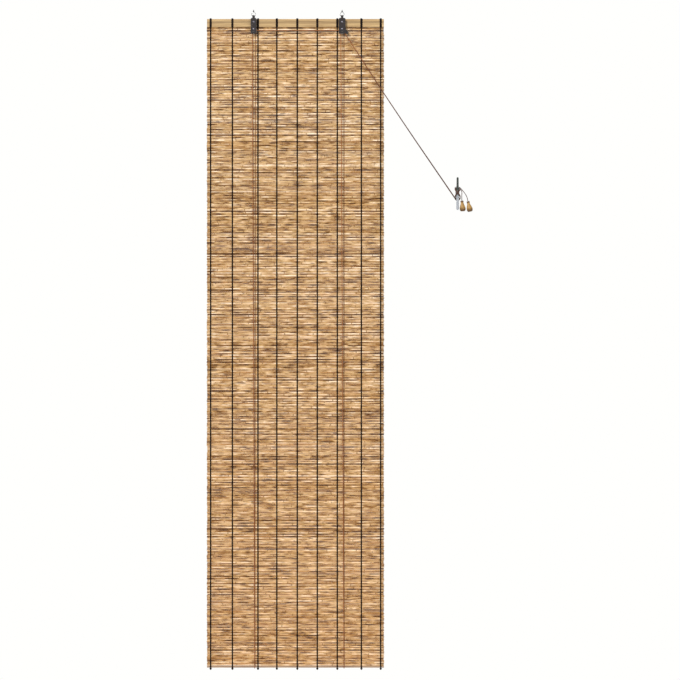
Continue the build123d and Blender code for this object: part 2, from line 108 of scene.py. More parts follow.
# %% The floor
floor_gap = 0.22
floor_radius = 1.8
floor_corners = 96
floor_z = slat_low[2] - floor_gap
floor_place = (mat_x, mat_y, floor_z)
bpy.ops.mesh.primitive_circle_add(
    vertices=floor_corners, radius=floor_radius, fill_type="NGON", location=floor_place
)
floor = bpy.context.object
floor.name = "floor"
paper = bpy.data.materials.new("pale_paper")
paper.use_nodes = True
paper.node_tree.nodes["Principled BSDF"].inputs["Base Color"].default_value = (0.86, 0.86, 0.85, 1)
paper.node_tree.nodes["Principled BSDF"].inputs["Roughness"].default_value = 0.9
floor.data.materials.append(paper)
floor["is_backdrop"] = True
print("floor", round(slat_low[2] - floor_z, 3), "m under the slat")

# %% [markdown]
# The world is white on the wall side and dimmer on the room side, so that lamps in the room can model the
# reeds. A ramp over the direction's Y does that, because Y runs from the room to the wall.

# %% The light from all round
world = bpy.data.worlds.new("studio")
bpy.context.scene.world = world
world.use_nodes = True
sky = world.node_tree.nodes["Background"]
sky.inputs["Strength"].default_value = 1.0
direction = world.node_tree.nodes.new("ShaderNodeSeparateXYZ")
coordinates = world.node_tree.nodes.new("ShaderNodeTexCoord")
world.node_tree.links.new(coordinates.outputs["Generated"], direction.inputs["Vector"])
paper_ramp = world.node_tree.nodes.new("ShaderNodeValToRGB")
room_side, wall_side = paper_ramp.color_ramp.elements
room_side.position, room_side.color = 0.0, (0.60, 0.60, 0.60, 1)
wall_side.position, wall_side.color = 0.8, (1.0, 1.0, 0.985, 1)
world.node_tree.links.new(direction.outputs["Y"], paper_ramp.inputs["Fac"])
world.node_tree.links.new(paper_ramp.outputs["Color"], sky.inputs["Color"])
print("world is", [round(value, 2) for value in room_side.color][:3], "on the room side")

# %% [markdown]
# Two lamps do the rest: a fairly small one at the upper left, which draws a shadow under each reed and
# beside each cord, and a broad weak one at the right. The "Standard" view keeps each colour as it is
# mixed.

# %% Two lamps
key_place, key_size, key_watts = (mat_x - 2.6, -5.0, 3.2), 0.8, 430
fill_place, fill_size, fill_watts = (mat_x + 3.0, -4.4, -0.6), 2.5, 65
middle = (mat_x, mat_y, batten_high[2] - mat_drop / 2)


def soft_lamp(name, place, size, watts):
    """A square soft box that points at the middle of the mat."""
    data = bpy.data.lights.new(name, "AREA")
    data.size = size
    data.energy = watts
    lamp = bpy.data.objects.new(name, data)
    bpy.context.scene.collection.objects.link(lamp)
    lamp.location = place
    lamp.rotation_euler = (Vector(middle) - Vector(place)).to_track_quat("-Z", "Y").to_euler()


soft_lamp("key_lamp", key_place, key_size, key_watts)
soft_lamp("fill_lamp", fill_place, fill_size, fill_watts)
bpy.context.scene.view_settings.view_transform = "Standard"
print("lamps", key_watts, "and", fill_watts, "W")

# %% [markdown]
# Colours are written as they look on a screen, 0 to 255, and turned to the linear light that Blender mixes
# in. Greys are for masks, so they are plain linear shares.

# %% Colours as they look on a screen


def linear(red, green, blue):
    """A screen colour, 0 to 255, as linear light."""
    parts = []
    for value in (red, green, blue):
        share = value / 255
        parts.append(share / 12.92 if share <= 0.04045 else ((share + 0.055) / 1.055) ** 2.4)
    return (*parts, 1.0)


def grey(value):
    """A plain grey, 0 to 1, used for masks."""
    return (value, value, value, 1.0)


BLACK = grey(0.0)
WHITE = grey(1.0)
print("a mid grey of 128 is", round(linear(128, 128, 128)[0], 3), "in linear light")

# %% [markdown]
# Every finish starts as a bare Principled shader. One class makes it and holds the few moves that all
# finishes share: a node with its inputs filled, a link, a bump and a colour. Nodes are made in one place,
# so that a link and a plain value are written the same way.

# %% A bare shader


class Shader:
    """A material with one Principled shader, and short ways to feed it."""

    def __init__(self, name, roughness, metallic=0.0):
        self.material = bpy.data.materials.new(name)
        self.material.use_nodes = True
        self.tree = self.material.node_tree
        self.shader = self.tree.nodes["Principled BSDF"]
        self.shader.inputs["Roughness"].default_value = roughness
        self.shader.inputs["Metallic"].default_value = metallic
        self.place = self.node("TexCoord", {})["Object"]

    def link(self, source, target):
        """Join an output to an input."""
        self.tree.links.new(source, target)

    def node(self, kind, inputs, **settings):
        """A new node's outputs; an input that is an output elsewhere is linked, and any other is set."""
        node = self.tree.nodes.new("ShaderNode" + kind)
        for name, value in settings.items():
            setattr(node, name, value)
        for socket, value in inputs.items():
            if hasattr(value, "links"):
                self.link(value, node.inputs[socket])
            else:
                node.inputs[socket].default_value = value
        return node.outputs

    def bump(self, height, depth, strength):
        """Relief in metres from a height output."""
        relief = self.node("Bump", {"Height": height, "Distance": depth, "Strength": strength})
        self.link(relief["Normal"], self.shader.inputs["Normal"])

    def colour(self, source):
        """Give the shader its colour."""
        self.link(source, self.shader.inputs["Base Color"])


print("a finish starts as one shader")

# %% [markdown]
# What feeds the shader is mixed from patterns and colours: noise that can be stretched along the grain, a
# weighted sum, the place itself, a ramp between named colours, and a mix. They are added to the bare
# shader here, so each recipe further down reads as a list of layers.

# %% Patterns and colours that feed it
own_shift = (37.0, 53.0, 71.0)  # how far a piece's own number moves its pattern, in features


class Finish(Shader):
    """A shader with the patterns and colours that finishes are mixed from."""

    def noise(self, scale, detail=3.0, rough=0.5, seed=0.0, own=None):
        """Noise with its own features per metre on X, Y and Z, moved by a seed and a piece's own number."""
        start = (seed, seed * 0.7, seed * 1.3)
        place = self.node("Mapping", {"Vector": self.place, "Location": start, "Scale": scale})["Vector"]
        if own is not None:
            moved = self.node("VectorMath", {0: own, 1: own_shift, 2: place}, operation="MULTIPLY_ADD")
            place = moved["Vector"]
        settings = {"Vector": place, "Scale": 1.0, "Detail": detail, "Roughness": rough}
        return self.node("TexNoise", settings)["Fac"]

    def sum(self, first, second, weight, offset=0.0):
        """first + second times weight + offset."""
        total = self.node("Math", {0: second, 1: weight, 2: first}, operation="MULTIPLY_ADD")["Value"]
        return self.node("Math", {0: total, 1: offset}, operation="ADD")["Value"]

    def along(self, axis):
        """The place along one axis, in metres."""
        return self.node("SeparateXYZ", {"Vector": self.place})[axis]

    def between(self, source, start, end, most=1.0):
        """0 where the source is at start, rising evenly to most where it is at end."""
        span = {"Value": source, "From Min": start, "From Max": end, "To Max": most}
        return self.node("MapRange", span)["Result"]

    def ramp(self, factor, stops):
        """A colour ramp from (position, colour) pairs."""
        ramp = self.tree.nodes.new("ShaderNodeValToRGB")
        while len(ramp.color_ramp.elements) < len(stops):
            ramp.color_ramp.elements.new(0.5)
        for element, (position, colour) in zip(ramp.color_ramp.elements, stops):
            element.position = position
            element.color = colour
        self.link(factor, ramp.inputs["Fac"])
        return ramp.outputs["Color"]

    def mix(self, factor, first, second, how="MIX"):
        """Blend two colours; each may be a plain colour or an output."""
        inputs = {"Factor": factor, "A": first, "B": second}
        return self.node("Mix", inputs, data_type="RGBA", blend_type=how)["Result"]


print("finish tools ready")

# %% [markdown]
# Each lift cord is a braided line, 2.4 mm thick, that starts in a knot behind the batten, runs down the
# back, turns under the foot, climbs the front and goes over its sheaves to the cleat on the wall. A pulled
# line is all but straight, so its points are few: one at each corner, one beside it, so that the smooth
# curve doesn't leave the line early, and one that lets the slanting run sag by a few millimetres. The
# points are in millimetres and can be moved by hand.

# %% Routes to the cleat
left_route = [
    (-143.5, 16.4, -38.2),  # knot behind the batten
    (-146.2, 14.3, -2216.0),
    (-146.2, 14.6, -2225.6),  # under the foot
    (-146.2, 5.1, -2225.6),
    (-146.2, 5.4, -2216.0),
    (-154.5, 2.35, -71.8),
    (-154.5, 2.35, -62.8),  # over the left sheave
    (-145.5, 2.35, -62.8),
    (147.6, 2.35, -62.8),
    (152.4, 2.35, -62.8),  # over the rear sheave of the right block
    (155.1, 2.4, -66.8),
    (336.9, 5.3, -346.5),  # a slight sag on the way
    (525.4, 8.2, -621.7),
    (532.6, 8.2, -632.6),  # reaching the cleat
]
right_route = [
    (156.5, 16.4, -38.2),
    (156.4, 14.3, -2216.0),
    (156.4, 14.6, -2225.6),
    (156.4, 5.1, -2225.6),
    (156.4, 5.4, -2216.0),
    (145.5, -2.35, -71.8),
    (145.5, -2.35, -62.8),  # over the front sheave of the right block
    (149.0, -2.35, -62.4),
    (152.4, -2.35, -62.8),
    (155.1, -2.3, -66.8),
    (337.5, 1.4, -345.9),
    (526.6, 5.1, -620.5),
    (532.6, 5.3, -630.2),
]
left_tail = [
    (556.4, 0.5, -609.0),
    (555.6, 4.0, -621.5),
    (555.9, 9.0, -635.5),
    (557.6, 9.0, -653.0),
    (559.2, 9.0, -670.4),  # knot under the left pull
]
right_tail = [
    (558.8, -3.5, -606.0),
    (568.0, 0.5, -617.5),
    (573.8, 4.0, -628.5),
    (576.0, 8.0, -637.6),
    (579.8, 8.0, -654.7),
    (583.4, 8.0, -671.9),  # knot under the right pull
]
print("points by hand", len(left_route) + len(left_tail), len(right_route) + len(right_tail))

# %% [markdown]
# On the cleat the cords are made fast in a figure-eight: behind the lower horn, across the front, behind
# the upper horn, and back. One formula draws it. While an angle goes round once, x swings twice and z
# once, which gives the two loops, and y goes back and forth so that each crossing lies in front of the
# horn and each loop closes behind it. Every crossing gets its own layer, one cord thickness in front of
# the last, so the turns lie on each other and not in each other.

# %% Turns round the cleat
cleat_low, cleat_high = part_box("cleat")
cleat_x = (cleat_low[0] + cleat_high[0]) / 2 / MM
cleat_z = (cleat_low[2] + cleat_high[2]) / 2 / MM
loop_half_width = 9.3
loop_half_height = 21.0
crossing_rise = 1.7
beside_middle = 1.8
points_per_turn = 24
layers = [6.0, -2.9, 6.0, -5.5, 8.6, -8.1, 8.6, -1.2]  # y behind and in front of the horns, in turn
quarter_turn = math.pi / 2
first_angle = -math.pi / 12
last_angle = 3.2 * math.pi


def cleat_turns(shift):
    """Points of the figure-eight, in millimetres; shift moves one cord beside the other."""
    points = []
    steps = round((last_angle - first_angle) / (2 * math.pi) * points_per_turn)
    for step in range(steps + 1):
        angle = first_angle + (last_angle - first_angle) * step / steps
        position = max(angle, 0) / quarter_turn
        layer = min(int(position), len(layers) - 2)
        here, there = layers[layer], layers[layer + 1]
        share = (1 - math.cos(math.pi * (position - layer))) / 2
        x = cleat_x + loop_half_width * math.sin(2 * angle)
        rise = crossing_rise * (1 - math.cos(2 * angle))
        z = cleat_z + rise - loop_half_height * math.cos(angle) + shift
        points.append((x, here + (there - here) * share, z))
    return points


left_turns = cleat_turns(-beside_middle)
right_turns = cleat_turns(beside_middle)
print("turns have", len(left_turns), "points each")

# %% [markdown]
# A NURBS curve of order three follows such points smoothly. The order and the end points are set after the
# points are there, because a spline with too few points falls back to straight pieces. The curve itself is
# only the line: what shows is a mesh tube swept along it, because a tube of our own can carry a map that
# runs with the cord, and a braid needs one.

# %% Centre lines
cord_diameter = 2.4 * MM
same_place = 1e-7


def smooth_line(points):
    """Points in metres along a NURBS line whose control points are given in millimetres."""
    data = bpy.data.curves.new("line", "CURVE")
    data.dimensions = "3D"
    spline = data.splines.new("NURBS")
    spline.points.add(len(points) - 1)
    for place, point in zip(spline.points, points):
        place.co = (*(Vector(point) * MM), 1)
    spline.order_u = 3
    spline.use_endpoint_u = True
    spline.resolution_u = 8
    curve = bpy.data.objects.new("line", data)
    line = [Vector(vertex.co) for vertex in bpy.data.meshes.new_from_object(curve).vertices]
    bpy.data.objects.remove(curve)
    apart = [here for here, after in zip(line, line[1:]) if (after - here).length > same_place]
    return apart + [line[-1]]


def length_of(line):
    """How long a line of points is, in metres."""
    return sum((after - before).length for before, after in zip(line, line[1:]))


cord_lines = {
    "left": smooth_line(left_route + left_turns + left_tail),
    "right": smooth_line(right_route + right_turns + right_tail),
}
for side, line in cord_lines.items():
    print(side, "cord", round(length_of(line), 3), "m in", len(line), "points")

# %% [markdown]
# Soft and natural pieces are made here as meshes from lists of points and faces, because every vertex can
# then be placed by a rule. One helper turns such lists into a smooth piece and lets it ride on a body of
# the imported model.

# %% A piece from points


def mesh_piece(name, vertices, faces, body="blind"):
    """A smooth-shaded mesh object that rides on a body."""
    mesh = bpy.data.meshes.new(name)
    mesh.from_pydata(vertices, [], faces)
    mesh.polygons.foreach_set("use_smooth", [True] * len(mesh.polygons))
    mesh.update()
    piece = bpy.data.objects.new(name, mesh)
    bpy.context.scene.collection.objects.link(piece)
    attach(piece, body)
    return piece


print("pieces ride on the blind unless they name another body")

# %% [markdown]
# Cords, yarn and wire are all one thing to a modeller: a round or flat section carried along a line. This
# small workbench does it for any number of lines at once and keeps a map, once round the section and in
# metres along it, for the twist or braid of the finish. Along a free cord the section must not spin, so
# each ring is turned from the last by the least angle; a flat yarn instead keeps its broad side across a
# given direction.

# %% A workbench for strands
first_aim = (0.37, 0.92, 0.11)  # any direction that no line starts in


class Strands:
    """Tubes along lines, gathered into one mesh."""

    def __init__(self):
        self.vertices, self.faces, self.maps = [], [], []

    def lay(self, line, half_width, half_depth=None, across=None, sides=8):
        """Sweep a section along a line; half sizes are one number, or one for each point."""
        count = len(line)
        widths = half_width if hasattr(half_width, "__len__") else [half_width] * count
        depths = widths if half_depth is None else half_depth
        depths = depths if hasattr(depths, "__len__") else [depths] * count
        start = len(self.vertices)
        run, runs = 0.0, []
        broad = Vector(first_aim) if across is None else across
        for index, place in enumerate(line):
            before, after = line[max(index - 1, 0)], line[min(index + 1, count - 1)]
            tangent = (after - before).normalized()
            run += (place - before).length
            runs.append(run)
            aim = broad - tangent * broad.dot(tangent)
            aim.normalize()
            if across is None:
                broad = aim
            other = tangent.cross(aim)
            for side in range(sides):
                turn = 2 * math.pi * side / sides
                offset = aim * (widths[index] * math.cos(turn)) + other * (depths[index] * math.sin(turn))
                self.vertices.append(tuple(place + offset))
        for ring in range(count - 1):
            for side in range(sides):
                after = (side + 1) % sides
                low, high = start + ring * sides, start + (ring + 1) * sides
                self.faces.append((low + side, low + after, high + after, high + side))
                u, u_after = side / sides, (side + 1) / sides
                v, v_after = runs[ring], runs[ring + 1]
                self.maps.append(((u, v), (u_after, v), (u_after, v_after), (u, v_after)))
        for ring, order in ((0, -1), (count - 1, 1)):
            self.faces.append(tuple(start + ring * sides + side for side in range(sides))[::order])
            self.maps.append(((0.5, runs[ring]),) * sides)

    def piece(self, name, slot, body="blind"):
        """The strands as one piece that rides on a body."""
        piece = mesh_piece(name, self.vertices, self.faces, body)
        layer = piece.data.uv_layers.new(name="strand_map")
        layer.data.foreach_set("uv", [value for face in self.maps for corner in face for value in corner])
        return piece


print("strand workbench ready")

# %% [markdown]
# The pulls are turned on a lathe: a collar where the cord goes in, a slim neck, and a belly low down with
# a hollow foot that hides the knot. A lathe part is one profile spun round an axis, so it is made that way
# here, with more points where the outline turns quickly. Each pull leans with its own cord, so the spin
# follows the line from the collar to the knot.

# %% Turned pulls
pull_profile = [
    (0.0, 0.0),
    (1.7, 0.0),
    (4.4, 0.1),
    (5.2, 0.9),
    (5.3, 3.0),
    (5.2, 4.8),
    (4.7, 5.5),
    (4.6, 6.4),
    (4.9, 8.8),
    (5.7, 11.8),
    (7.0, 15.4),
    (8.5, 19.4),
    (9.7, 23.4),
    (10.1, 27.0),
    (9.8, 30.4),
    (8.8, 33.4),
    (7.2, 35.4),
    (5.2, 36.0),
    (4.2, 35.8),
    (4.2, 28.2),
    (0.0, 28.0),
]  # radius, and distance below the top, in millimetres
pull_sides = 40
above_collar = 4.0
least_radius = 0.01


def turn_pull(side, neck, knot):
    """Spin the profile about the line from neck to knot."""
    axis = (Vector(knot) - Vector(neck)).normalized()
    top = Vector(neck) + axis * above_collar
    wide = axis.orthogonal().normalized()
    deep = axis.cross(wide)
    vertices, faces = [], []
    for radius, down in pull_profile:
        for step in range(pull_sides):
            turn = 2 * math.pi * step / pull_sides
            rim = (wide * math.cos(turn) + deep * math.sin(turn)) * max(radius, least_radius)
            vertices.append(tuple((top + axis * down + rim) * MM))
    for ring in range(len(pull_profile) - 1):
        for step in range(pull_sides):
            after = (step + 1) % pull_sides
            low, high = ring * pull_sides, (ring + 1) * pull_sides
            faces.append((low + step, high + step, high + after, low + after))
    piece = mesh_piece(f"{side}_pull", vertices, faces)
    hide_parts(f"{side}_wooden_pull")
    return piece


pulls = {
    "left": turn_pull("left", left_tail[-3], left_tail[-1]),
    "right": turn_pull("right", right_tail[-3], right_tail[-1]),
}
print("pulls", [piece.name for piece in pulls.values()])

# %% [markdown]
# Each cord is stopped by an overhand knot at both ends: one behind the batten, one in the hollow foot of
# its wooden pull. A trefoil is the true path of an overhand knot, so a closed trefoil of the cord's
# thickness, pulled small, reads as one from every side. The warps use the same path for their yarn.

# %% The path of a knot
knot_steps = 36


def knot_line(place, reach, depth):
    """A tight overhand knot's path round a place in metres; reach and depth are its half width and depth."""
    line = []
    for step in range(knot_steps + 1):
        turn = 2 * math.pi * step / knot_steps
        wide = reach / 3 * (math.sin(turn) + 2 * math.sin(2 * turn))
        tall = reach / 3 * (math.cos(turn) - 2 * math.cos(2 * turn))
        line.append(Vector(place) + Vector((wide, depth * math.sin(3 * turn), tall)))
    return line


print("a knot has", len(knot_line((0, 0, 0), 1, 1)), "points")

# %% [markdown]
# Each cord is one tube from knot to knot.

# %% Cords and their knots
cord_sides = 12
batten_knot = (2.4 * MM, 1.2 * MM)  # half width and half depth
pull_knot = (2.2 * MM, 1.3 * MM)
cord_pieces = []
for side, route, tail, replaced in (
    ("left", left_route, left_tail, ("left_lift_cord", "left_cord_tail")),
    ("right", right_route, right_tail, ("right_lift_cord", "right_cord_tail", "cord_winding")),
):
    strands = Strands()
    strands.lay(cord_lines[side], cord_diameter / 2, sides=cord_sides)
    cord = strands.piece(f"{side}_cord", "lift_cord")
    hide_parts(*replaced)
    tied = Strands()
    tied.lay(knot_line(Vector(route[0]) * MM, *batten_knot), cord_diameter / 2)
    tied.lay(knot_line(Vector(tail[-1]) * MM, *pull_knot), cord_diameter / 2)
    knots = tied.piece(f"{side}_cord_knots", "lift_cord")
    cord_pieces += [cord, knots]
print([piece.name for piece in cord_pieces])

# %% [markdown]
# A braid is two sets of strands that wind opposite ways. Two sine waves on the strand map, one for each
# hand, multiplied together give its raised diamonds. Their height feeds the bump, and darkens the valleys
# as painted shade. The stretch between the mat and the pulls is the one that hands hold, so it is darker
# and browner.

# %% Braided cord finish
diamonds_round, diamonds_per_metre = 4, 160
diamond_heights = (0.15, 0.5, 0.9)
clean_braid = (linear(74, 32, 8), linear(146, 82, 30), linear(182, 108, 46))
soiled_braid = (linear(36, 20, 13), linear(72, 44, 30), linear(102, 68, 50))
mat_right = mat_x + mat_width / 2
handled_from, handled_full = mat_right - 120 * MM, mat_right + 50 * MM


def strand_weave(finish, round_count, per_metre, hands=(1, -1)):
    """Raised twist on a strand's map: one hand gives plies, both hands give a braid's diamonds."""
    strand_map = finish.node("SeparateXYZ", {"Vector": finish.node("UVMap", {})["UV"]})
    twist = None
    for hand in hands:
        along = finish.sum(0.0, strand_map["Y"], hand * per_metre * 2 * math.pi)
        both = finish.sum(along, strand_map["X"], round_count * 2 * math.pi)
        wave = finish.node("Math", {0: both}, operation="SINE")["Value"]
        if twist is None:
            twist = wave
        else:
            twist = finish.node("Math", {0: twist, 1: wave}, operation="MULTIPLY")["Value"]
    return finish.sum(0.0, twist, 0.5, 0.5)


def braid_finish():
    """Rust-brown braid, soiled from the mat's right edge on."""
    finish = Finish("lift_cord_braid", roughness=0.72)
    diamonds = strand_weave(finish, diamonds_round, diamonds_per_metre)
    # Both ramps run dark in the valleys and light on the diamonds: painted shade between the strands.
    clean = finish.ramp(diamonds, list(zip(diamond_heights, clean_braid)))
    soiled = finish.ramp(diamonds, list(zip(diamond_heights, soiled_braid)))
    handled = finish.between(finish.along("X"), handled_from, handled_full)
    dyed = finish.mix(handled, clean, soiled)
    worn = finish.ramp(finish.noise((40, 40, 40), seed=3), [(0.42, BLACK), (0.66, grey(0.5))])
    finish.colour(finish.mix(worn, dyed, linear(92, 52, 30)))
    finish.bump(diamonds, 0.3 * MM, strength=0.8)
    return finish.material


braid = braid_finish()
for piece in cord_pieces:
    piece.data.materials.append(braid)
print("cord finish on", len(cord_pieces), "pieces")

# %% [markdown]
# The mat is nearly five hundred dry reeds, each as thick as a drinking straw and no two alike. A flat
# sheet with a striped picture would look wrong from the side and at the edges, and one plain cylinder
# repeated would look like plastic pipe. So each reed is built on its own: it tapers from its butt to its
# tip, bows a little, has a swollen joint every hand's breadth and ends in a hollow cut. Their places and
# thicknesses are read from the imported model, where the reeds stand apart, so every run of height covered
# by mesh is one reed. The first reed is made to fill the space up to the batten, because it is lashed hard
# against it.

# %% Read the reeds
touching = 1e-6


def reed_bands(node):
    """(middle height, radius) of each reed, top down."""
    mesh = node.data
    places = np.empty(len(mesh.vertices) * 3)
    mesh.vertices.foreach_get("co", places)
    heights = places.reshape(-1, 3)[:, 2]
    spans = []
    for face in mesh.polygons:
        corners = [heights[corner] for corner in face.vertices]
        spans.append((min(corners), max(corners)))
    spans.sort()
    bands = [list(spans[0])]
    for low, high in spans[1:]:
        if low <= bands[-1][1] + touching:
            bands[-1][1] = max(bands[-1][1], high)
        else:
            bands.append([low, high])
    return [((low + high) / 2, (high - low) / 2) for low, high in reversed(bands)]


bands = reed_bands(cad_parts["reeds"])
second_top = bands[1][0] + bands[1][1]
bands[0] = ((batten_low[2] + second_top) / 2, (batten_low[2] - second_top) / 2)
reed_count = len(bands)
radii = [radius for height, radius in bands]
print(reed_count, "reeds, radius", round(min(radii), 5), "to", round(max(radii), 5))

# %% [markdown]
# Weavers lay the butt of one reed beside the tip of the next, so the mat stays level although every reed
# tapers. The same is done here by turning every second reed round. At a few heights, given as shares of
# the drop, one bleached reed lies on a dark one and draws a line across the whole mat. Each vertex also
# carries three numbers for the finish: the reed's own shade, a seed that moves its pattern, and whether it
# is on a joint; inside a hollow end the third one rises towards the floor, where it paints the hole's shade.

# %% Reed sizes and the lines across the mat
reed_sides = 8
even_stations = 15
taper = 0.085
fullness = 1.04
joint_swell = 0.14 * MM
joint_reach = 2.5 * MM
first_joint = (0.01, 0.16)  # from the end to the first joint, in metres
joint_gap = (0.09, 0.21)  # from one joint to the next, in metres
end_scatter = 1.1 * MM
bow_reach = 0.3 * MM
shade_spread = 0.22
turned_shade = 0.28
pale_rows = (0.015, 0.0473, 0.0916, 0.1033, 0.1338, 0.1466, 0.1776, 0.1875, 0.3643)
pale_shade, dark_shade = 1.0, -0.15
# The first reed, right under the batten, takes the dark tone as a painted shadow of the batten.
line_shades = {0: dark_shade}
for row in pale_rows:
    row_height = batten_high[2] - row * mat_drop
    nearest = min(range(reed_count), key=lambda index: abs(bands[index][0] - row_height))
    line_shades[nearest] = pale_shade
    line_shades[nearest + 1] = dark_shade
print("lines across the mat:", len(pale_rows))

# %% [markdown]
# A reed is a stack of rings along X. Rings stand at even stations, and three more at each joint make its
# swelling. The slow wave that runs through the mat is shared by neighbours, which keeps the gaps even.

# %% The rings of one reed
wave_tall = 0.18 * MM
long_wave = (19.0, 3.1)  # radians per metre, along the reed and up the mat
short_wave = (43.0, -7.7)
short_share = 0.5
short_lag = 1.0
ripple_share, ripple_turns = 0.3, 9  # a small second bend on each reed's own bow


def mat_wave(x, height):
    """How far the mat rises at a place, shared by neighbouring reeds."""
    long_swell = math.sin(long_wave[0] * x + long_wave[1] * height)
    short_swell = math.sin(short_wave[0] * x + short_wave[1] * height + short_lag)
    return wave_tall * (long_swell + short_share * short_swell)


def reed_stations(rng):
    """Where one reed's rings stand along X, and which of them are joints."""
    left = reeds_low[0] + rng.uniform(-end_scatter, end_scatter)
    right = reeds_high[0] + rng.uniform(-end_scatter, end_scatter)
    joints = []
    place = left + rng.uniform(*first_joint)
    while place < right - joint_reach:
        joints.append(place)
        place += rng.uniform(*joint_gap)
    even = [left + (right - left) * step / (even_stations - 1) for step in range(1, even_stations - 1)]
    stations = [left, right] + [x for x in even if all(abs(x - joint) > 2 * joint_reach for joint in joints)]
    for joint in joints:
        stations += [joint - joint_reach, joint, joint + joint_reach]
    return sorted(x for x in stations if left <= x <= right), joints


def reed_body(rng, index, height, radius):
    """Vertices, faces and finish numbers of one reed's skin."""
    stations, joints = reed_stations(rng)
    left, right = stations[0], stations[-1]
    lean = taper if index % 2 else -taper
    bow = rng.uniform(-bow_reach, bow_reach)
    drift = rng.uniform(0, 2 * math.pi)
    shade = rng.gauss(0.5, shade_spread) + (turned_shade if index % 2 else -turned_shade)
    shade = line_shades.get(index, shade)
    seed = rng.random()
    first_spin = rng.uniform(0, math.pi)
    vertices, numbers, faces = [], [], []
    for ring, x in enumerate(stations):
        share = (x - left) / (right - left)
        swell = joint_swell if x in joints else 0.0
        thick = fullness * radius * (1 + lean * (2 * share - 1)) + swell
        ripple = ripple_share * bow * math.sin(ripple_turns * share + drift)
        middle_y = mat_y + bow * math.sin(math.pi * share) + ripple
        middle_z = height + mat_wave(x, height)
        for side in range(reed_sides):
            turn = first_spin + 2 * math.pi * side / reed_sides
            vertices.append((x, middle_y + thick * math.cos(turn), middle_z + thick * math.sin(turn)))
            numbers.append((shade, seed, 1.0 if x in joints else 0.0, 1.0))
            if ring > 0:
                here = (ring - 1) * reed_sides
                after = here + (side + 1) % reed_sides
                faces.append((here + side, here + side + reed_sides, after + reed_sides, after))
    return vertices, faces, numbers


print("the wave lifts a reed by up to", round((1 + short_share) * wave_tall / MM, 2), "mm")

# %% [markdown]
# A cut reed is a pipe: a wall of wood round a hole. Each end gets a flat rim and a short blind hole, drawn
# in towards the middle of the reed's last ring, so they fit any thickness. The cut is darker than the
# skin, and down the hole the colour runs into that of a joint, which paints the shade at the hole's floor.

# %% The hollow end of a reed
hollow_share = 0.5
hollow_depth = 2.0 * MM
rim_shade = -0.5


def hollow_end(vertices, faces, numbers, first, inward):
    """Close one end: first is its ring's first vertex, and inward is the way into the reed along X."""
    rim = [Vector(vertices[first + side]) for side in range(reed_sides)]
    core = sum(rim, Vector()) / reed_sides
    shade, seed = numbers[first][:2]
    lip = len(vertices)
    for depth_in in (0.0, hollow_depth):
        for corner in rim:
            inner = core + (corner - core) * hollow_share + Vector((inward * depth_in, 0, 0))
            vertices.append(tuple(inner))
            # The third number rises to 1 at the floor, where the joint colour paints the hole's shade.
            numbers.append((shade + rim_shade, seed, depth_in / hollow_depth, 1.0))
    for side in range(reed_sides):
        after = (side + 1) % reed_sides
        outer = (first + side, first + after)
        middle_pair = (lip + side, lip + after)
        deep_pair = (lip + reed_sides + side, lip + reed_sides + after)
        for near, far in ((outer, middle_pair), (middle_pair, deep_pair)):
            faces.append((near[0], near[1], far[1], far[0])[::inward])
    faces.append(tuple(lip + reed_sides + side for side in range(reed_sides))[::inward])


print("ends are hollow", round(hollow_depth / MM, 1), "mm deep")

# %% [markdown]
# The mat is made in two pieces, upper and lower, because one piece of five hundred reeds would be heavy to
# handle. All reeds of a piece go into one mesh, and their numbers for the finish are stored on its points.

# %% Weave the mat


def weave_mat(name, first, last, rng):
    """The reeds from first to last as one piece."""
    vertices, faces, numbers = [], [], []
    for index in range(first, last):
        reed_points, reed_faces, reed_marks = reed_body(rng, index, *bands[index])
        last_ring = len(reed_points) - reed_sides
        for first_corner, inward in ((0, 1), (last_ring, -1)):
            hollow_end(reed_points, reed_faces, reed_marks, first_corner, inward)
        start = len(vertices)
        vertices += reed_points
        faces += [tuple(start + corner for corner in face) for face in reed_faces]
        numbers += reed_marks
    piece = mesh_piece(name, vertices, faces)
    layer = piece.data.attributes.new("reed", "FLOAT_COLOR", "POINT")
    layer.data.foreach_set("color", [value for row in numbers for value in row])
    return piece


reed_rng = random.Random(7)
half = reed_count // 2
upper_mat = weave_mat("upper_mat", 0, half, reed_rng)
lower_mat = weave_mat("lower_mat", half, reed_count, reed_rng)
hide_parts("reeds")
for piece in (upper_mat, lower_mat):
    piece.data.calc_loop_triangles()
    print(piece.name, len(piece.data.loop_triangles), "triangles")

# %% [markdown]
# Dry reed is golden brown where the hard skin shows, browner where bits of the papery leaf sheath still
# cling, and has dark weather marks between. All of these are stretched noise: long along the reed, and
# moved by each reed's own seed, so a mark never runs on into the next one. Besides, each length of a reed
# has a tone of its own by chance, and the mat gets warmer towards its foot. A soft gloss stands for the
# hard skin, and a fine line bump for the fibres. First come the helpers that read what the reeds carry.

# %% What a reed's finish reads
lengths_apart = 97.0  # how far a reed's own number moves its lengths, in lengths


def reed_numbers(finish):
    """The three numbers that each reed carries on its points."""
    painted = finish.node("Attribute", {}, attribute_name="reed")["Color"]
    parts = finish.node("SeparateColor", {"Color": painted})
    return parts["Red"], parts["Green"], parts["Blue"]


def reed_lengths(finish, per_metre, own):
    """One chance number from 0 to 1 for each length along X; own gives every reed its own lengths."""
    start = finish.sum(0.0, own, lengths_apart)
    count = finish.sum(start, finish.along("X"), per_metre)
    cell = finish.node("TexVoronoi", {"W": count, "Scale": 1.0}, voronoi_dimensions="1D")["Color"]
    return finish.node("SeparateColor", {"Color": cell})["Red"]


print("reed finish tools ready")

# %% [markdown]
# Where each lift cord runs behind the mat, a brown line is painted down the reeds. The line is where the
# distance to the cord's own run, measured across the mat, is small, so it follows the cord if the cord is
# moved.

# %% The line where a cord runs behind
behind_line_reach = 1.2 * MM
behind_line_edge = 0.8 * MM
behind_line_strength = 0.75


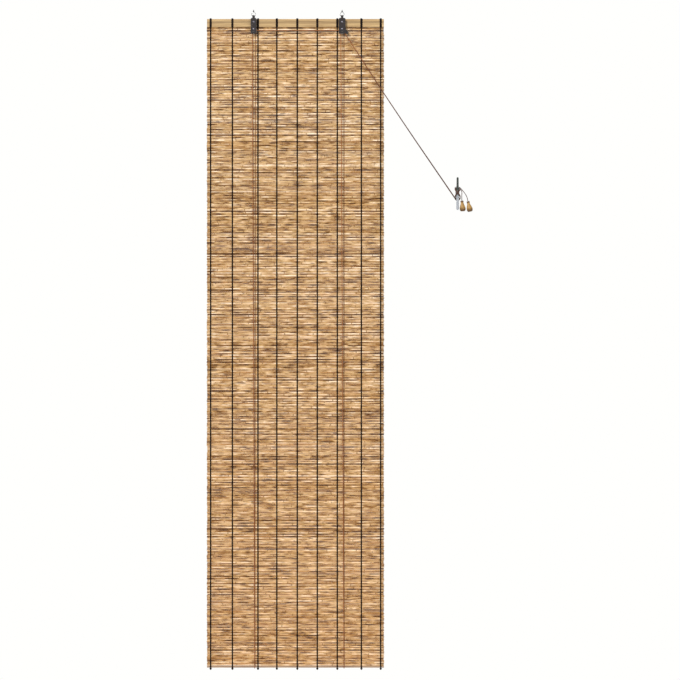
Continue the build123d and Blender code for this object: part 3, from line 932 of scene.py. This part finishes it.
def line_behind_cord(finish, top, foot):
    """behind_line_strength in a narrow line where a cord runs behind the mat, else 0; ends in millimetres."""
    lean = (top[0] - foot[0]) / (top[2] - foot[2])
    beside = finish.sum(finish.along("X"), finish.along("Z"), -lean, (lean * top[2] - top[0]) * MM)
    away = finish.node("Math", {0: beside}, operation="ABSOLUTE")["Value"]
    return finish.between(away, behind_line_reach + behind_line_edge, behind_line_reach, behind_line_strength)


print("rubbed", round(2 * behind_line_reach / MM, 1), "mm wide")

# %% [markdown]
# Now the layers are put on in the order they come in life: the skin's own tone, then sheath, blush and
# marks, then fibres, the warmer foot, the lines along the cords and last the joints, whose colour also
# paints the shade in the hollow ends.

# %% Reed finish
shade_weight = 0.25
length_weight = 0.13
fibre_weight = 0.16
warm_from = reeds_high[2] - 0.2 * mat_drop
foot_tint = (1.0, 0.91, 0.80, 1.0)
skin_tones = [
    (0.28, linear(83, 50, 16)),
    (0.385, linear(147, 106, 56)),
    (0.50, linear(189, 153, 102)),
    (0.615, linear(213, 180, 135)),
    (0.76, linear(240, 217, 186)),
]


def reed_finish():
    """Weathered reed, one pattern that every reed cuts at another place."""
    finish = Finish("dry_reed", roughness=0.6)
    finish.shader.inputs["Specular IOR Level"].default_value = 0.25
    shade, own, joint = reed_numbers(finish)
    tone = finish.noise((30, 90, 90), own=own)
    tone = finish.sum(tone, shade, shade_weight, -shade_weight / 2)
    tone = finish.sum(tone, reed_lengths(finish, 24, own), length_weight, -length_weight / 2)
    coloured = finish.ramp(tone, skin_tones)
    sheath = finish.noise((15, 60, 60), rough=0.6, own=own, seed=11)
    sheath_mask = finish.ramp(sheath, [(0.56, BLACK), (0.63, grey(0.75))])
    coloured = finish.mix(sheath_mask, coloured, linear(154, 117, 78))
    blush = finish.noise((8, 30, 30), detail=2, own=own, seed=23)
    blush_mask = finish.ramp(blush, [(0.50, BLACK), (0.66, grey(0.5))])
    coloured = finish.mix(blush_mask, coloured, linear(186, 140, 88))
    mark = finish.noise((24, 120, 120), rough=0.55, own=own, seed=31)
    mark_mask = finish.ramp(mark, [(0.59, BLACK), (0.67, grey(0.75))])
    coloured = finish.mix(mark_mask, coloured, linear(84, 44, 14))
    fibre = finish.noise((60, 2600, 2600), detail=2, own=own)
    fibre_lines = finish.ramp(fibre, [(0.35, BLACK), (0.65, WHITE)])
    coloured = finish.mix(fibre_weight, coloured, fibre_lines, "OVERLAY")
    towards_foot = finish.between(finish.along("Z"), warm_from, reeds_low[2])
    coloured = finish.mix(towards_foot, coloured, foot_tint, "MULTIPLY")
    for route in (left_route, right_route):
        coloured = finish.mix(line_behind_cord(finish, route[0], route[1]), coloured, linear(104, 60, 28))
    # The joint colour also paints the shade inside the hollow ends.
    finish.colour(finish.mix(joint, coloured, linear(128, 90, 54)))
    finish.bump(fibre, 0.05 * MM, strength=0.5)
    return finish.material


reed_skin = reed_finish()
for piece in (upper_mat, lower_mat):
    piece.data.materials.append(reed_skin)
print("reed finish on", upper_mat.name, "and", lower_mat.name)

# %% [markdown]
# Nine warps of black yarn hold the reeds. Each warp is two yarns that change sides after every reed: where
# one lies in front, the other lies behind, and they cross in the gap. That twining is what keeps the reeds
# from sliding, and it is why a warp looks like a row of small stitches up close. Each yarn is laid flat
# over a reed and narrow where it crosses.

# %% Warp sizes
warp_nodes = sorted(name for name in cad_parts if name.startswith("warp_thread"))
yarn_half_width = 2.45 * MM
yarn_half_depth = 0.42 * MM
crossing_half_width = 1.0 * MM
crossing_half_depth = 0.22 * MM
crossing_spread = 1.0 * MM
shoulder = 0.7
sway_aside, sway_spread = 0.2 * MM, 0.15 * MM
width_spread = (0.9, 1.06)
yarn_sides = 6
across_mat = Vector((1, 0, 0))
print(len(warp_nodes), "warps")

# %% [markdown]
# A yarn is given four points at each reed: two at its shoulders and one on its face, which wrap it flat,
# and one in the gap below, where it is narrow and crosses its partner. The last crossing is taken off
# again, because below the last reed the yarn runs over the slat instead.

# %% Twine the yarns


def twined_yarn(x, first_side, rng):
    """Line, half widths and half depths of one yarn; first_side is -1 for in front and 1 for behind."""
    line, widths, depths = [], [], []

    def step(dx, y, z, width, depth):
        line.append(Vector((x + dx, y, z)))
        widths.append(width)
        depths.append(depth)

    face = batten_low[1] if first_side < 0 else batten_high[1]
    face += first_side * yarn_half_depth
    step(0, mat_y, batten_high[2] + 2 * yarn_half_depth, crossing_half_width, yarn_half_depth)
    step(0, face, batten_high[2] - yarn_half_depth, yarn_half_width, yarn_half_depth)
    step(0, face, batten_low[2] + yarn_half_depth, yarn_half_width, yarn_half_depth)
    side = first_side
    for (height, radius), (next_height, next_radius) in zip(bands, bands[1:] + [(slat_low[2], 0.0)]):
        z = height + mat_wave(x, height)
        reach = radius + yarn_half_depth
        sway = side * sway_aside + rng.uniform(-sway_spread, sway_spread)
        wide = yarn_half_width * rng.uniform(*width_spread)
        step(sway, mat_y + side * shoulder * reach, z + shoulder * reach, wide, yarn_half_depth)
        step(sway, mat_y + side * reach, z, wide, yarn_half_depth)
        step(sway, mat_y + side * shoulder * reach, z - shoulder * reach, wide, yarn_half_depth)
        gap = (height - radius + next_height + next_radius) / 2
        gap_z = gap + mat_wave(x, gap)
        step(-side * crossing_spread, mat_y, gap_z, crossing_half_width, crossing_half_depth)
        side = -side
    for values in (line, widths, depths):
        values.pop()
    foot_face = (slat_low[1] if side < 0 else slat_high[1]) + side * yarn_half_depth
    step(0, foot_face, slat_high[2] - yarn_half_depth, yarn_half_width, yarn_half_depth)
    step(0, foot_face, slat_low[2], yarn_half_width, yarn_half_depth)
    step(0, mat_y, slat_low[2] - yarn_half_depth, crossing_half_width, yarn_half_depth)
    return line, widths, depths


print("each yarn passes", reed_count, "reeds")

# %% [markdown]
# Round the batten, three turns of yarn lash the mat on. A turn is a rounded box round the batten's
# section, and its back sits a little to one side of its front, as a wound turn does.

# %% Lash the batten
lashing_turns = 3
lashing_pitch = 2.5 * MM
lashing_edge = 0.8 * MM


def lashing_line(x, lean):
    """One turn of yarn round the batten; lean is how far its back sits to the right of its front."""
    front, back = batten_low[1] - yarn_half_depth, batten_high[1] + yarn_half_depth
    top, foot = batten_high[2] + yarn_half_depth, batten_low[2] - crossing_half_depth
    corners = [
        (0, front, (top + foot) / 2),
        (0, front, top - lashing_edge),
        (0.2, front + lashing_edge, top),
        (0.8, back - lashing_edge, top),
        (1, back, top - lashing_edge),
        (1, back, foot + lashing_edge),
        (0.8, back - lashing_edge, foot),
        (0.2, front + lashing_edge, foot),
        (0, front, foot + lashing_edge),
        (0, front, (top + foot) / 2 - lashing_edge),
    ]
    return [Vector((x + lean * share, y, z)) for share, y, z in corners]


print("a lashing is", round(lashing_turns * lashing_pitch / MM, 1), "mm wide")

# %% [markdown]
# One warp gathers its two yarns, its lashing and a knot above and below into one piece, and takes the
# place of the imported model's plain thread.

# %% Make the warps
knot_yarn_radius = 1.8 * MM
turn_spread, lean_spread, knot_spread = 0.2 * MM, 0.6 * MM, 0.3 * MM
knot_below, knot_above = 3.6 * MM, 3.0 * MM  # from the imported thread's top and from its foot
top_knot = (1.9 * MM, 1.2 * MM)  # half width and half depth
foot_knot = (2.3 * MM, 1.5 * MM)


def make_warp(node, number, rng):
    """One warp: two twined yarns, their lashing and their knots."""
    low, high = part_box(node)
    x = (low[0] + high[0]) / 2
    warp = Strands()
    for first_side in (-1, 1):
        line, widths, depths = twined_yarn(x, first_side, rng)
        warp.lay(line, widths, depths, across=across_mat, sides=yarn_sides)
    for turn in range(lashing_turns):
        beside = (turn - (lashing_turns - 1) / 2) * lashing_pitch + rng.uniform(-turn_spread, turn_spread)
        turn_line = lashing_line(x + beside, rng.uniform(-lean_spread, lean_spread))
        warp.lay(turn_line, lashing_pitch / 2, yarn_half_depth, across=across_mat)
    knot_top = Vector((x + rng.uniform(-knot_spread, knot_spread), mat_y, high[2] - knot_below))
    knot_foot = Vector((x, mat_y, low[2] + knot_above))
    warp.lay(knot_line(knot_top, *top_knot), knot_yarn_radius)
    warp.lay(knot_line(knot_foot, *foot_knot), knot_yarn_radius)
    piece = warp.piece(f"warp_{number}", "black_yarn")
    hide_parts(node)
    return piece


warp_rng = random.Random(21)
warps = [make_warp(node, number, warp_rng) for number, node in enumerate(warp_nodes, start=1)]
print(len(warps), "warps,", sum(len(warp.data.polygons) for warp in warps), "faces")

# %% [markdown]
# Yarn is twisted plies of dull fibre. One hand of the strand wave gives the plies, and sheen stands for
# the fuzz that catches light at the edges. The black is a very dark brown, because nothing woven is truly
# black.

# %% Black yarn finish
yarn_plies, plies_per_metre = 2, 300


def yarn_finish():
    """Dull black twisted yarn."""
    finish = Finish("black_yarn", roughness=0.85)
    plies = strand_weave(finish, yarn_plies, plies_per_metre, hands=(1,))
    fuzz = finish.noise((900, 900, 900), detail=2)
    # The ramp is darker between the plies: painted shade in the grooves of the twist.
    twisted = finish.ramp(plies, [(0.1, linear(8, 5, 4)), (0.9, linear(30, 21, 16))])
    finish.colour(finish.mix(fuzz, twisted, linear(15, 10, 8)))
    finish.shader.inputs["Sheen Weight"].default_value = 0.03
    finish.shader.inputs["Specular IOR Level"].default_value = 0.1
    finish.bump(plies, 0.2 * MM, strength=0.7)
    return finish.material


yarn = yarn_finish()
for warp in warps:
    warp.data.materials.append(yarn)
print("yarn finish on", len(warps), "warps")

# %% [markdown]
# A screw eye is one wire: a pointed shank with a coarse thread, then a round ring that almost closes.
# Turning the shank as a stack of rings, wide at each crest and narrow at each root, gives the thread's
# saw-tooth outline at this size, and the ring is a tube along most of a circle.

# %% The ring and the thread of a screw eye
wire_radius = 1.0 * MM
crest_radius = 3.1 * MM
root_radius = 2.3 * MM
point_share = 0.04
thread_pitch = 1.3 * MM
rings_per_turn = 4
gap_angle = math.radians(20)
ring_steps = 48
wire_sides, shank_sides = 12, 16


def ring_of_wire(centre, ring_radius):
    """Most of a circle in the XZ plane, open just short of the shank."""
    line = []
    for step in range(ring_steps + 1):
        turn = math.pi / 2 + (2 * math.pi - gap_angle) * step / ring_steps
        line.append(centre + Vector((math.cos(turn), 0, math.sin(turn))) * ring_radius)
    return line


def threaded_shank(x, neck_z, point_z):
    """Line and radii of the shank, wide at each crest, from the ring's neck to the point."""
    line, radii = [], []
    taper_z = neck_z + thread_pitch
    steps = round((point_z - neck_z) / thread_pitch * rings_per_turn)
    for step in range(steps + 1):
        z = neck_z + (point_z - neck_z) * step / steps
        crest = (step % rings_per_turn) in (1, 2) and z > taper_z
        narrowing = min(1.0, (point_z - z) / (point_z - taper_z) + point_share)
        line.append(Vector((x, 0, z)))
        radii.append((crest_radius if crest else root_radius) * narrowing)
    return line, radii


print("thread is", round((crest_radius - root_radius) / MM, 1), "mm deep")

# %% [markdown]
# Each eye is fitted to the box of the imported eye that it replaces: the ring fills the box's width and
# stands on its foot, and the shank runs from there to the top.

# %% Screw eyes
eyes = []
for side in ("left", "right"):
    low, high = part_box(f"{side}_screw_eye")
    middle_x = (low[0] + high[0]) / 2
    ring_radius = (high[0] - low[0]) / 2 - wire_radius
    ring_middle = Vector((middle_x, 0, low[2] + ring_radius + wire_radius))
    neck_z = ring_middle.z + ring_radius
    eye = Strands()
    eye.lay(ring_of_wire(ring_middle, ring_radius), wire_radius, sides=wire_sides)
    eye.lay(*threaded_shank(middle_x, neck_z, high[2]), across=across_mat, sides=shank_sides)
    piece = eye.piece(f"{side}_eye", "bright_wire")
    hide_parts(f"{side}_screw_eye")
    eyes.append((piece, neck_z))
print("eyes", [piece.name for piece, neck_z in eyes])

# %% [markdown]
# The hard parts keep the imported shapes, which are already true, and get finishes only. Metals first.
# Plated wire is bright with faint rubbing, which is a slow change of roughness, and the zinc rivets are
# duller. The block frames are pressed steel with black enamel, a little orange-peel in the gloss and a few
# worn flecks. The cleat is cast: its upper horn has darkened and its lower horn is still bright, so its
# colour runs from one to the other by height.

# %% Metal finishes
bright_below, dark_above = cleat_z - 8, cleat_z + 14


def dress(material, *names):
    """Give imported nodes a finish."""
    for name in names:
        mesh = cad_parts[name].data
        if len(mesh.materials) == 0:
            mesh.materials.append(material)
        for index in range(len(mesh.materials)):
            mesh.materials[index] = material


def bright_metal(name, light, dull, roughness):
    """Plated metal, with rubbed and dull areas."""
    finish = Finish(name, roughness, metallic=1.0)
    rub = finish.noise((350, 350, 350), detail=4, seed=5)
    finish.colour(finish.ramp(rub, [(0.35, dull), (0.65, light)]))
    gloss = finish.ramp(rub, [(0.3, grey(roughness * 1.5)), (0.7, grey(roughness * 0.8))])
    finish.link(gloss, finish.shader.inputs["Roughness"])
    finish.bump(rub, 0.03 * MM, strength=0.3)
    return finish.material


def black_enamel():
    """Black paint on pressed steel."""
    finish = Finish("black_enamel", roughness=0.5)
    finish.shader.inputs["Specular IOR Level"].default_value = 0.3
    peel = finish.noise((700, 700, 700), detail=2)
    flecks = finish.ramp(finish.noise((500, 500, 260), detail=5, seed=9), [(0.66, BLACK), (0.70, WHITE)])
    base = finish.ramp(peel, [(0.3, linear(24, 19, 19)), (0.7, linear(38, 31, 31))])
    finish.colour(finish.mix(flecks, base, linear(112, 104, 100)))
    finish.bump(peel, 0.06 * MM, strength=0.35)
    return finish.material


def cast_cleat():
    """Cast metal, dark above the cords and bright below them."""
    finish = Finish("cast_cleat", roughness=0.38, metallic=0.75)
    darkened = finish.between(finish.along("Z"), bright_below * MM, dark_above * MM)
    grain = finish.noise((500, 500, 500), detail=4)
    bright = finish.ramp(grain, [(0.3, linear(144, 148, 153)), (0.7, linear(184, 188, 193))])
    dark = finish.ramp(grain, [(0.3, linear(50, 54, 50)), (0.7, linear(82, 88, 82))])
    finish.colour(finish.mix(darkened, bright, dark))
    finish.bump(grain, 0.12 * MM, strength=0.4)
    return finish.material


print("metal recipes ready")

# %% [markdown]
# The finishes are handed out last. On the eyes two finishes meet: faces above the neck get the dull dark
# one of the thread, and the ring below keeps the plated one.

# %% Dress the metal pieces
eye_metal = bright_metal("plated_wire", linear(196, 196, 194), linear(140, 140, 140), 0.3)
shank_metal = bright_metal("blackened_thread", linear(56, 54, 53), linear(26, 25, 25), 0.55)
for piece, neck_z in eyes:
    piece.data.materials.append(eye_metal)
    piece.data.materials.append(shank_metal)
    for face in piece.data.polygons:
        if face.center.z > neck_z + wire_radius:
            face.material_index = 1
rivet_metal = bright_metal("zinc_rivet", linear(146, 143, 152), linear(104, 101, 110), 0.42)
for part in ("batten_rivet", "keeper_rivet"):
    dress(rivet_metal, f"left_{part}", f"right_{part}")
dress(eye_metal, "left_cord_staple", "right_cord_staple", "cleat_screws")
dress(black_enamel(), "left_block_frame", "right_block_frame")
dark_pin = bright_metal("dark_pin", linear(92, 88, 88), linear(58, 55, 56), 0.4)
for part in ("axle", "upper_sleeve", "lower_sleeve"):
    dress(dark_pin, f"left_{part}", f"right_{part}")
dress(cast_cleat(), "cleat")
print("metal finishes done")

# %% [markdown]
# The sheaves and the bush beside one of them are moulded from pale nylon, which wears well on a steel
# axle. Moulded plastic is never quite even, so a fine grain moves its tone and its surface.

# %% Moulded plastic finish


def moulded_plastic():
    """Pale, slightly greasy nylon."""
    finish = Finish("sheave_plastic", roughness=0.45)
    grain = finish.noise((900, 900, 900), detail=3)
    finish.colour(finish.ramp(grain, [(0.3, linear(196, 192, 182)), (0.7, linear(216, 212, 203))]))
    finish.bump(grain, 0.05 * MM, strength=0.4)
    return finish.material


dress(moulded_plastic(), "left_sheave", "right_rear_sheave", "right_front_sheave", "left_spacer_bush")
print("plastic finish done")

# %% [markdown]
# The batten is a split cane lath, planed flat: long straight grain, a paler edge at the top, which is a
# painted reflection of the light on its chamfer, and a darker line of pith part of the way down. The same
# recipe, with other colours, gives the thin foot slat. Grain is noise stretched forty times along the
# wood, and the bands follow the height, with a little wander.

# %% Batten and slat finish
wander_height = 3.0 * MM
band_strength = 0.55
grain_steps = (0.30, 0.50, 0.68)
bands_down = ((0.00, 0.80), (0.22, 0.62), (0.36, 0.34), (0.52, 0.56), (0.84, 0.74), (1.00, 0.36))


def lath_finish(name, tones, low, high):
    """Planed cane, its grain along X and soft bands down its height; tones run from dark to pale."""
    finish = Finish(name, roughness=0.5)
    grain = finish.noise((9, 380, 380), detail=5, rough=0.65)
    base = finish.ramp(grain, list(zip(grain_steps, tones)))
    drift = finish.noise((6, 1, 40), seed=4)
    wander = finish.sum(finish.along("Z"), drift, wander_height, -wander_height / 2)
    down = finish.between(wander, high[2], low[2])
    # The bands are the pith line and, at the top edge, a painted reflection of the chamfer.
    tone_and_reflection_bands = finish.ramp(down, [(share, grey(tone)) for share, tone in bands_down])
    finish.colour(finish.mix(band_strength, base, tone_and_reflection_bands, "OVERLAY"))
    finish.bump(grain, 0.08 * MM, strength=0.4)
    return finish.material


batten_tones = (linear(124, 95, 57), linear(150, 122, 80), linear(174, 146, 100))
slat_tones = (linear(104, 80, 60), linear(146, 118, 92), linear(172, 146, 116))
dress(lath_finish("cane_lath", batten_tones, batten_low, batten_high), "head_batten")
dress(lath_finish("foot_lath", slat_tones, slat_low, slat_high), "bottom_slat")
print("lath finishes done")

# %% [markdown]
# Each pull is turned from pale hardwood and dipped dark at its neck, where the cord goes in. The lathe
# leaves fine rings round the axis and the wood's own grain runs along it, so the finish needs a height
# measured along each pull's own lean. Taking the distance from the neck gives that for both pulls without
# turning the texture.

# %% Turned wood finish
dip_length = 20 * MM
foot_length = 40 * MM
dip_wander = 1.5 * MM
pull_tones = [(0.30, linear(122, 88, 34)), (0.50, linear(158, 120, 56)), (0.70, linear(184, 144, 76))]


def pull_finish(name, neck):
    """Turned wood with a dark dipped neck; neck is the point where the cord goes in."""
    finish = Finish(name, roughness=0.5)
    distance = finish.node("VectorMath", {0: finish.place, 1: neck}, operation="DISTANCE")["Value"]
    wood = finish.ramp(finish.noise((420, 420, 60), detail=4, rough=0.6), pull_tones)
    dip_edge = finish.sum(distance, finish.noise((500, 500, 500)), dip_wander, -dip_wander / 2)
    dip = finish.ramp(finish.between(dip_edge, 0.0, dip_length), [(0.52, WHITE), (0.55, BLACK)])
    # Towards the foot the wood darkens: painted shade under the belly.
    lower = finish.between(distance, 0.0, foot_length)
    foot_shade = finish.ramp(lower, [(0.68, BLACK), (0.90, grey(0.9))])
    shaded = finish.mix(foot_shade, wood, linear(84, 54, 18))
    finish.colour(finish.mix(dip, shaded, linear(104, 76, 48)))
    rings = finish.ramp(finish.noise((120, 120, 1500), detail=1), [(0.4, BLACK), (0.6, WHITE)])
    finish.bump(rings, 0.05 * MM, strength=0.25)
    finish.shader.inputs["Coat Weight"].default_value = 0.06
    return finish.material


for side, tail in (("left", left_tail), ("right", right_tail)):
    neck = tuple(Vector(tail[-3]) * MM)
    pulls[side].data.materials.append(pull_finish(f"{side}_turned_wood", neck))
print("pull finishes done")

# %% [markdown]
# Last, the sizes of the whole model are measured before and after, and written out, so that anyone can see
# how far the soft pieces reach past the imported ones.

# %% Finish
cad_box = [list(cad_low), list(cad_high)]
seen_box = [list(corner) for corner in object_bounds()]
grown = [seen - packed for packed, seen in zip(cad_box[0] + cad_box[1], seen_box[0] + seen_box[1])]
print("grown by", [round(value / MM, 1) for value in grown], "mm")
